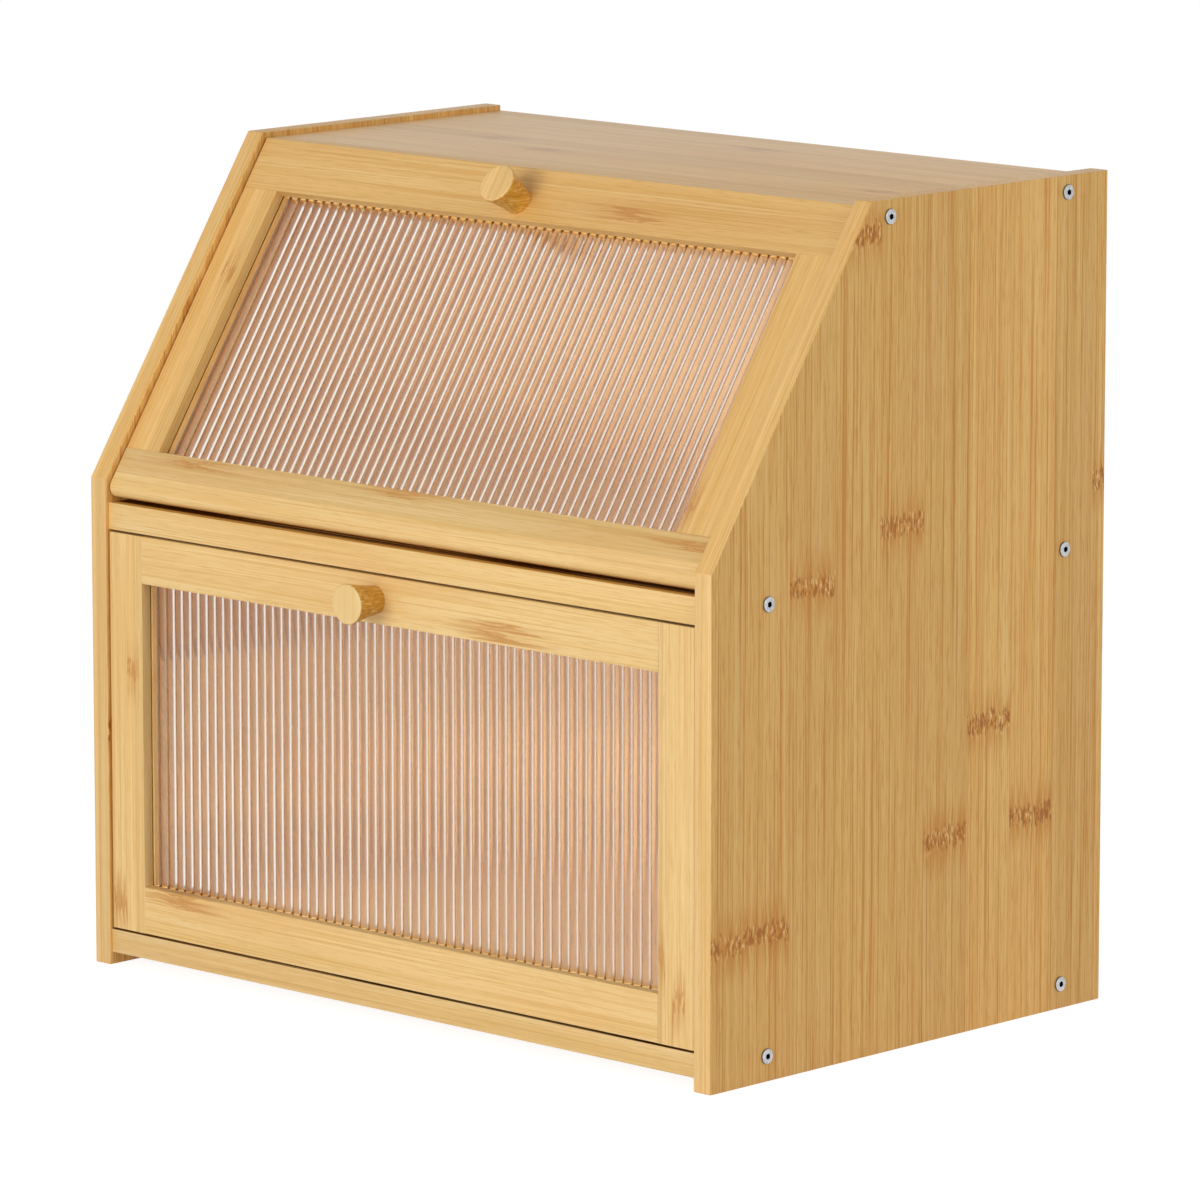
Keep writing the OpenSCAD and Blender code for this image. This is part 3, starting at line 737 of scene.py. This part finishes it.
def repeat_flute(pane):
    """Repeats one flute across the pane, and welds the copies together."""
    row = pane.modifiers.new("row", "ARRAY")
    row.count = flute_count
    row.use_relative_offset = False
    row.use_constant_offset = True
    row.constant_offset_displace = (FLUTE_PITCH, 0, 0)
    row.use_merge_vertices = True
    row.merge_threshold = 0.01 * MM
    bpy.ops.object.modifier_apply(modifier=row.name)


def trim(across, keep_positive):
    """Cuts the mesh in edit mode at a place across its width and drops what lies outside."""
    bpy.ops.mesh.select_all(action="SELECT")
    bpy.ops.mesh.bisect(plane_co=(across, 0, 0), plane_no=(1, 0, 0),
                        clear_inner=keep_positive, clear_outer=not keep_positive)


print("a flute is an arc with a radius of", round(flute_r / MM, 2), "mm")

# %% [markdown]
# A pane is made as if its place stood upright, and is then settled in that place, which leans
# back for the door.


# %% Both panes
def fluted_pane(node_name, body, place, material):
    """A fluted sheet that fills the box of a CAD pane."""
    low, high = local_box(node_name, place)
    first, valley = -FLUTE_PHASE, low.y + FLUTE_DEPTH
    bpy.ops.object.select_all(action="DESELECT")
    bpy.ops.mesh.primitive_plane_add(size=1, location=(0, 0, 0))
    pane = take(bpy.context.object)
    pane.name = node_name + "_fluted"
    upright_edge(pane, ((first, valley, low.z), (first, valley, high.z)))
    bpy.ops.mesh.select_all(action="SELECT")
    centre = (first + FLUTE_PITCH / 2, low.y + flute_r, 0)
    bpy.ops.mesh.spin(steps=FLUTE_STEPS, angle=-flute_turn, center=centre, axis=(0, 0, 1))
    bpy.ops.object.mode_set(mode="OBJECT")
    repeat_flute(pane)
    bpy.ops.object.mode_set(mode="EDIT")
    trim(low.x, True)
    trim(high.x, False)
    bpy.ops.mesh.select_all(action="SELECT")
    bpy.ops.mesh.extrude_region_move(TRANSFORM_OT_translate={"value": (0, high.y - low.y, 0)})
    bpy.ops.transform.resize(value=(1, 0, 1), center_override=(0, high.y, 0))
    bpy.ops.mesh.select_all(action="SELECT")
    bpy.ops.mesh.normals_make_consistent(inside=False)
    bpy.ops.object.mode_set(mode="OBJECT")
    bpy.ops.object.shade_smooth_by_angle(angle=FLUTE_SMOOTH)
    settle(pane, place)
    pane.data.materials.append(material)
    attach(pane, body)
    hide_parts(node_name)
    report(pane)


fluted_pane("door_pane", "door", SLANTED, acrylic)
fluted_pane("drawer_pane", "drawer", UPRIGHT, acrylic)

# %% [markdown]
# ## Turning on a lathe
#
# The knobs and the screws are turned. Half of the outline is drawn as a row of corners, and spun
# round the axis into a solid.

# %% A lathe
SMALL_WELD = 0.002 * MM


def turned(name, corners, steps, centre, axis, weld):
    """An object made by spinning a row of corners round an axis."""
    mesh = bpy.data.meshes.new(name)
    mesh.from_pydata(corners, [(i, i + 1) for i in range(len(corners) - 1)], [])
    made = bpy.data.objects.new(name, mesh)
    bpy.context.scene.collection.objects.link(made)
    take(made)
    bpy.ops.object.mode_set(mode="EDIT")
    bpy.ops.mesh.select_all(action="SELECT")
    bpy.ops.mesh.spin(steps=steps, angle=math.tau, center=centre, axis=axis)
    bpy.ops.mesh.select_all(action="SELECT")
    bpy.ops.mesh.remove_doubles(threshold=weld)
    bpy.ops.mesh.normals_make_consistent(inside=False)
    bpy.ops.object.mode_set(mode="OBJECT")
    bpy.ops.object.shade_smooth_by_angle(angle=SMOOTH_ANGLE)
    return made


print("the lathe is ready")

# %% [markdown]
# ### Knobs
#
# The flare of a knob runs out from a narrow foot, a little hollow, and the rim is rounded over.
# Its face keeps the knob's tone, and its neck takes a darker one, painted shade.

# %% Turned knobs
KNOB_FOOT_R = 6.45 * MM
KNOB_RIM_R = 9.25 * MM
KNOB_HOLLOW = 0.35 * MM
RIM_ROUND = 1.1 * MM
KNOB_STEPS = 96
KNOB_STRIP = 12.0
OUTLINE_STEPS = 8


def knob_outline(length):
    """Half outline of a knob: distance from the axis and distance from the rail, in metres."""
    points = [(0.0, 0.0), (KNOB_FOOT_R, 0.0)]
    for i in range(1, OUTLINE_STEPS):
        t = i / OUTLINE_STEPS
        straight = KNOB_FOOT_R + (KNOB_RIM_R - KNOB_FOOT_R) * t
        points.append((straight - KNOB_HOLLOW * math.sin(math.pi * t), (length - RIM_ROUND) * t))
    for i in range(OUTLINE_STEPS + 1):
        angle = math.radians(90) * i / OUTLINE_STEPS
        points.append((KNOB_RIM_R - RIM_ROUND + RIM_ROUND * math.cos(angle),
                       length - RIM_ROUND + RIM_ROUND * math.sin(angle)))
    points.append((0.0, length))
    return points


def turned_knob(node_name, body, place, face_material, neck_shade_material):
    """A knob as long as the CAD's, on the same axis."""
    low, high = local_box(node_name, place)
    axis_x, axis_z = (low.x + high.x) / 2, (low.z + high.z) / 2
    corners = [(axis_x + r, high.y - out, axis_z) for r, out in knob_outline(high.y - low.y)]
    knob = turned(node_name + "_turned", corners, KNOB_STEPS, (axis_x, 0, axis_z), Y, WELD)
    knob.data.materials.append(face_material)
    knob.data.materials.append(neck_shade_material)
    # Faces that look to the front take the face's tone, and the others, the neck, painted shade.
    for face in knob.data.polygons:
        face.material_index = 0 if face.normal.y < FACES_FRONT else 1
    settle(knob, place)
    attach(knob, body)
    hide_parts(node_name)
    report(knob)


door_disc = bamboo("door_knob", 19, UP_SLOPE, X, KNOB, strip=KNOB_STRIP)
door_neck_shade = bamboo("door_neck_shade", 24, Y, X, NECK_SHADE_TONE, strip=KNOB_STRIP)
turned_knob("door_knob", "door", SLANTED, door_disc, door_neck_shade)
# The drawer knob's face takes a lighter tone than the door knob's, painted light.
drawer_disc = bamboo("drawer_knob", 20, Z, X, DISC, strip=KNOB_STRIP)
drawer_neck_shade = bamboo("drawer_neck_shade", 25, Y, X, NECK_SHADE_TONE, strip=KNOB_STRIP)
turned_knob("drawer_knob", "drawer", UPRIGHT, drawer_disc, drawer_neck_shade)

# %% [markdown]
# ## Metal
#
# The screws are zinc plated: a pale grey that is bright but not polished, with faint turning marks.
# Their sockets and the rims of their heads are seen darker, so these carry painted shade of their
# own.

# %% Metal materials
DULLED = 0.72
MORE_DULL = 0.14
SPECKLE_TINT, SPECKLE_ROUGH = (0.35, 0.7), (0.3, 0.7)


def metal(name, colour, roughness, marks):
    """Plated steel. Fine noise, with so many marks to the metre, breaks up the shine."""
    material = bpy.data.materials.new(name)
    material.use_nodes = True
    tree = material.node_tree
    coordinates = node(tree, "ShaderNodeTexCoord")
    speckle = node(tree, "ShaderNodeTexNoise", Vector=coordinates.outputs["Object"],
                   Scale=marks, Detail=3.0).outputs["Fac"]
    shader = tree.nodes["Principled BSDF"]
    dull = tuple(DULLED * c for c in colour)
    tint = mix_colour(tree, ramp(tree, speckle, *SPECKLE_TINT), (*colour, 1), (*dull, 1))
    tree.links.new(tint, shader.inputs["Base Color"])
    rough = ramp(tree, speckle, *SPECKLE_ROUGH, roughness, roughness + MORE_DULL)
    tree.links.new(rough, shader.inputs["Roughness"])
    shader.inputs["Metallic"].default_value = 1.0
    return material


zinc = metal("zinc_screw", (0.58, 0.59, 0.61), 0.3, 900.0)
steel = metal("steel_pin", (0.56, 0.57, 0.60), 0.3, 700.0)
# The socket's and the rim's dark metals are painted shade.
socket_shade = metal("socket_shade", (0.02, 0.02, 0.022), 0.6, 700.0)
rim_shade = metal("rim_shade", (0.22, 0.20, 0.18), 0.45, 700.0)
print("metals:", zinc.name, steel.name)

# %% [markdown]
# ### Screws
#
# Every screw is turned, and a Boolean cuts the hexagon for its key into the head. One pattern
# serves a whole set. The CAD node is split into its loose parts to find out where each screw sits.


# %% Where the screws sit
def loose_parts(node_name, out):
    """For each solid of a node: the middle of its outer end, the way that faces, and its length.

    Where out is X, screws on the left side face the other way.
    """
    take(copy_of(node_name, node_name + "_measured"))
    bpy.ops.object.mode_set(mode="EDIT")
    bpy.ops.mesh.select_all(action="SELECT")
    bpy.ops.mesh.separate(type="LOOSE")
    bpy.ops.object.mode_set(mode="OBJECT")
    found = []
    for part in list(bpy.context.selected_objects):
        points = [v.co.copy() for v in part.data.vertices]
        middle = (Vector(map(min, zip(*points))) + Vector(map(max, zip(*points)))) / 2
        heading = out * math.copysign(1, middle.x) if abs(out.x) > 0.5 else out
        reach = [p.dot(heading) for p in points]
        end = middle + heading * (max(reach) - middle.dot(heading))
        found.append((end, heading, max(reach) - min(reach)))
        bpy.data.objects.remove(part)
    return found


print("the top panel is held by", len(loose_parts("top_screws", X)), "screws")

# %% [markdown]
# There are three kinds of head: flat ones on the cabinet's sides, domed ones behind the knobs, and
# countersunk ones in the drawer's sides. An outline is a row of (radius, height), and its highest
# point is at height 0.

# %% Outlines of the screws
SCREW_HEAD_R, SCREW_HEAD_H, SCREW_R = 3.45 * MM, 1.0 * MM, 2.0 * MM
RIM_LOW, RIM_HIGH, RIM_IN, FACE_IN = 0.45 * MM, 0.15 * MM, 0.15 * MM, 0.5 * MM
PAN_HEAD_R, PAN_HEAD_H, PAN_RIM = 4.0 * MM, 2.2 * MM, 1.0 * MM
DOME_STEPS = [math.radians(angle) for angle in (0, 18, 36, 54, 72)]
BOX_HEAD_R, BOX_HEAD_H, BOX_SCREW_R, BOX_RIM = 3.0 * MM, 2.0 * MM, 1.5 * MM, 0.1 * MM
TIP = 3.0 * MM


def shank(length, radius):
    """The part of the outline that all screws share: a blunt point and a straight shank."""
    return [(0.0, -length), (radius / 4, -length), (radius, -length + TIP)]


def flat_head(length):
    """A thin head with a chamfered rim."""
    return shank(length, SCREW_R) + [
        (SCREW_R, -SCREW_HEAD_H), (SCREW_HEAD_R, -SCREW_HEAD_H), (SCREW_HEAD_R, -RIM_LOW),
        (SCREW_HEAD_R - RIM_IN, -RIM_HIGH), (SCREW_HEAD_R - FACE_IN, 0.0), (0.0, 0.0)]


def pan_head(length):
    """A head with a straight rim and a low dome."""
    dome = [(PAN_HEAD_R * math.cos(t), (PAN_HEAD_H - PAN_RIM) * (math.sin(t) - 1))
            for t in DOME_STEPS]
    rim = [(SCREW_R, -PAN_HEAD_H), (PAN_HEAD_R, -PAN_HEAD_H)]
    return shank(length, SCREW_R) + rim + dome + [(0.0, 0.0)]


def sunk_head(length):
    """A cone that ends flush with the wood."""
    return shank(length, BOX_SCREW_R) + [
        (BOX_SCREW_R, -BOX_HEAD_H), (BOX_HEAD_R, -BOX_RIM), (BOX_HEAD_R, 0.0), (0.0, 0.0)]


print("the cabinet's screw heads are", round(2 * SCREW_HEAD_R / MM, 1), "mm across")

# %% [markdown]
# The socket and the rim take their painted shade once the hexagon has been cut.

# %% Cutting the socket
HEXAGON = 6
SLACK = 1.02
JUST_BELOW = 0.01 * MM
RIM_HEIGHT = 0.9 * SCREW_HEAD_H
RIM_TILT = 0.6


def shade_slot(face, size, depth):
    """Which of a screw's materials a face takes: the metal's, or the painted shade of the socket or
    rim.
    """
    near_axis = Vector(face.center[:2]).length < size * SLACK
    if near_axis and -SLACK * depth < face.center.z < -JUST_BELOW:
        return 1
    return 2 if face.center.z > -RIM_HEIGHT and abs(face.normal.z) < RIM_TILT else 0


def cut_socket(screw, size, depth):
    """Sinks a hexagon into the head. Its size is the radius of its corners."""
    bpy.ops.object.select_all(action="DESELECT")
    bpy.ops.mesh.primitive_cylinder_add(vertices=HEXAGON, radius=size, depth=2 * depth,
                                        location=(0, 0, 0))
    cutter = bpy.context.object
    cutter.data.materials.append(socket_shade)
    take(screw)
    cut = screw.modifiers.new("drive", "BOOLEAN")
    cut.operation = "DIFFERENCE"
    cut.solver = "EXACT"
    cut.object = cutter
    bpy.ops.object.modifier_apply(modifier=cut.name)
    for face in screw.data.polygons:
        face.material_index = shade_slot(face, size, depth)
    bpy.data.objects.remove(cutter)


print("a socket has", HEXAGON, "sides")

# %% [markdown]
# A set of screws is one pattern, copied to every place and joined into one piece.

# %% Sets of screws
SCREW_STEPS = 48
SOCKET_WIDTH = 2.5 * MM
SOCKET_R = SOCKET_WIDTH / 2 / math.cos(math.radians(30))
SLOPE_INWARD = SLANTED.to_3x3() @ Y


def screw_set(node_name, body, out, outline_of, size, depth):
    """Replaces a CAD node of screws by copies of one pattern, joined into one piece."""
    places = loose_parts(node_name, out)
    corners = [(r, 0, h) for r, h in outline_of(places[0][2])]
    pattern = turned(node_name + "_pattern", corners, SCREW_STEPS, (0, 0, 0), Z, SMALL_WELD)
    for material in (zinc, socket_shade, rim_shade):
        pattern.data.materials.append(material)
    cut_socket(pattern, size, depth)
    copies = []
    for end, heading, _ in places:
        single = bpy.data.objects.new(node_name + "_single", pattern.data.copy())
        bpy.context.scene.collection.objects.link(single)
        facing = heading.to_track_quat("Z", "Y").to_matrix().to_4x4()
        single.matrix_world = Matrix.Translation(end) @ facing
        copies.append(single)
    bpy.data.objects.remove(pattern)
    joined = take(copies[0])
    for single in copies:
        single.select_set(True)
    if len(copies) > 1:
        bpy.ops.object.join()
    bpy.ops.object.transform_apply(location=True, rotation=True, scale=True)
    joined.name = node_name + "_turned"
    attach(joined, body)
    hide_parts(node_name)
    report(joined)


for cabinet_set in ("top_screws", "shelf_screws", "floor_screws"):
    screw_set(cabinet_set, "cabinet", X, flat_head, SOCKET_R, 1.8 * MM)
screw_set("door_knob_screw", "door", SLOPE_INWARD, pan_head, 1.7 * MM, 1.2 * MM)
screw_set("drawer_knob_screw", "drawer", Y, pan_head, 1.7 * MM, 1.2 * MM)
screw_set("drawer_screws", "drawer", X, sunk_head, 1.3 * MM, 1.0 * MM)

# %% [markdown]
# ### Pins and dowels
#
# The hinge pins and the dowels sit inside the wood. They get eased ends and their own materials.

# %% Pins and dowels
SHARP = math.radians(60)
ROD_EASED = 0.3 * MM
# The dowels share the inner boards' paler tone of painted light.
dowel_wood = bamboo("dowels", 21, Y, X, INNER, strip=KNOB_STRIP)


def dressed_rod(node_name, body, material):
    """A rod of the CAD with its two rims bevelled."""
    rod = copy_of(node_name, node_name + "_eased")
    bpy.ops.object.mode_set(mode="EDIT")
    bpy.ops.mesh.select_mode(type="EDGE")
    bpy.ops.mesh.select_all(action="DESELECT")
    bpy.ops.mesh.edges_select_sharp(sharpness=SHARP)
    bpy.ops.mesh.bevel(offset=ROD_EASED, segments=2, profile=0.5)
    bpy.ops.object.mode_set(mode="OBJECT")
    bpy.ops.object.shade_smooth_by_angle(angle=SMOOTH_ANGLE)
    rod.data.materials.append(material)
    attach(rod, body)
    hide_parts(node_name)
    report(rod)


dressed_rod("hinge_pin_left", "cabinet", steel)
dressed_rod("hinge_pin_right", "cabinet", steel)
dressed_rod("drawer_dowels", "drawer", dowel_wood)

# %% [markdown]
# ## Studio
#
# The floor and the world are white to the camera. To the rays that light the object both are
# duller, or they would wash out its shadows. Near the object the floor is partly paint, which
# can take a shadow, and further off it is all glow.

# %% Floor
FLOOR_SIZE = 14.0
FLOOR_BELOW = 0.0002
FLOOR_LIT = (0.86, 0.86, 0.86, 1)
FLOOR_PAINT = (0.36, 0.36, 0.36, 1)
FLOOR_GLOW = 0.88
FADE_START, FADE_END = 0.45, 1.3
bpy.ops.object.select_all(action="DESELECT")
bpy.ops.mesh.primitive_plane_add(size=FLOOR_SIZE, location=(0, 0, -FLOOR_BELOW))
floor = bpy.context.object
floor.name = "studio_floor"


def seen_directly(tree):
    """1 for camera, mirror and see-through rays, 0 for the rays that light the object."""
    path = node(tree, "ShaderNodeLightPath")
    either = math_of(tree, "MAXIMUM", path.outputs["Is Camera Ray"], path.outputs["Is Glossy Ray"])
    return math_of(tree, "MAXIMUM", either, path.outputs["Is Transmission Ray"])


paper = bpy.data.materials.new("white_floor")
paper.use_nodes = True
tree = paper.node_tree
spot = node(tree, "ShaderNodeTexCoord").outputs["Object"]
distance = node(tree, "ShaderNodeVectorMath", {"operation": "LENGTH"}, i0=spot).outputs["Value"]
lit = node(tree, "ShaderNodeBsdfDiffuse", Color=FLOOR_LIT)
paint = node(tree, "ShaderNodeBsdfDiffuse", Color=FLOOR_PAINT)
glow = node(tree, "ShaderNodeEmission", Color=(1, 1, 1, 1), Strength=FLOOR_GLOW)
near = node(tree, "ShaderNodeAddShader", i0=paint.outputs[0], i1=glow.outputs[0])
white = node(tree, "ShaderNodeEmission", Color=(1, 1, 1, 1), Strength=1.0)
fade = ramp(tree, distance, FADE_START, FADE_END)
shown = node(tree, "ShaderNodeMixShader", i0=fade, i1=near.outputs[0], i2=white.outputs[0])
both = node(tree, "ShaderNodeMixShader", i0=seen_directly(tree), i1=lit.outputs[0],
            i2=shown.outputs[0])
tree.links.new(both.outputs[0], tree.nodes["Material Output"].inputs["Surface"])
floor.data.materials.append(paper)
print("the floor is", FLOOR_SIZE, "m wide")

# %% [markdown]
# A large soft lamp in front makes the front the brightest side, and a second one, a little warmer,
# lifts the right side panel.

# %% World and lamps
WORLD_LIGHT = 0.40
world = bpy.data.worlds.new("studio")
bpy.context.scene.world = world
world.use_nodes = True
tree = world.node_tree
sky = tree.nodes["Background"]
strength = ramp(tree, seen_directly(tree), 0.0, 1.0, WORLD_LIGHT, 1.0)
tree.links.new(strength, sky.inputs["Strength"])
sky.inputs["Color"].default_value = (1, 1, 1, 1)


def lamp(name, position, target, size, power, colour=(1, 1, 1)):
    """A square lamp that looks at the target. Its size is in metres and its power in watts."""
    light = bpy.data.lights.new(name, "AREA")
    light.shape = "SQUARE"
    light.size = size
    light.energy = power
    light.color = colour
    holder = bpy.data.objects.new(name, light)
    bpy.context.scene.collection.objects.link(holder)
    holder.location = position
    aim = Vector(target) - Vector(position)
    holder.rotation_euler = aim.to_track_quat("-Z", "Y").to_euler()


WARM_WHITE = (1.0, 0.93, 0.82)
middle = (box_low + box_high) / 2
lamp("key", (0.1, -2.9, 0.75), middle, 1.8, 44)
lamp("side", (2.9, -0.2, 1.0), middle, 1.6, 18, WARM_WHITE)
print("lamps aim at", [round(v, 3) for v in middle])

# %% [markdown]
# ## Camera
#
# A long lens stands to the front right, a little above the box.

# %% Camera
SENSOR_WIDTH, FOCAL_LENGTH = 36.0, 239.3
CAMERA_PLACE = (2.4786, -2.60015, 0.8087)
LOOKS_DOWN, TURNED_ROUND = 9.94, 43.48
bpy.context.scene.view_settings.view_transform = "Standard"
lens = bpy.data.cameras.new("camera")
lens.sensor_width = SENSOR_WIDTH
lens.lens = FOCAL_LENGTH
camera = bpy.data.objects.new("camera", lens)
bpy.context.scene.collection.objects.link(camera)
camera.location = CAMERA_PLACE
camera.rotation_euler = Euler((math.radians(90 - LOOKS_DOWN), 0, math.radians(TURNED_ROUND)))
bpy.context.scene.camera = camera
print("camera is", round(camera.location.length, 2), "m away")
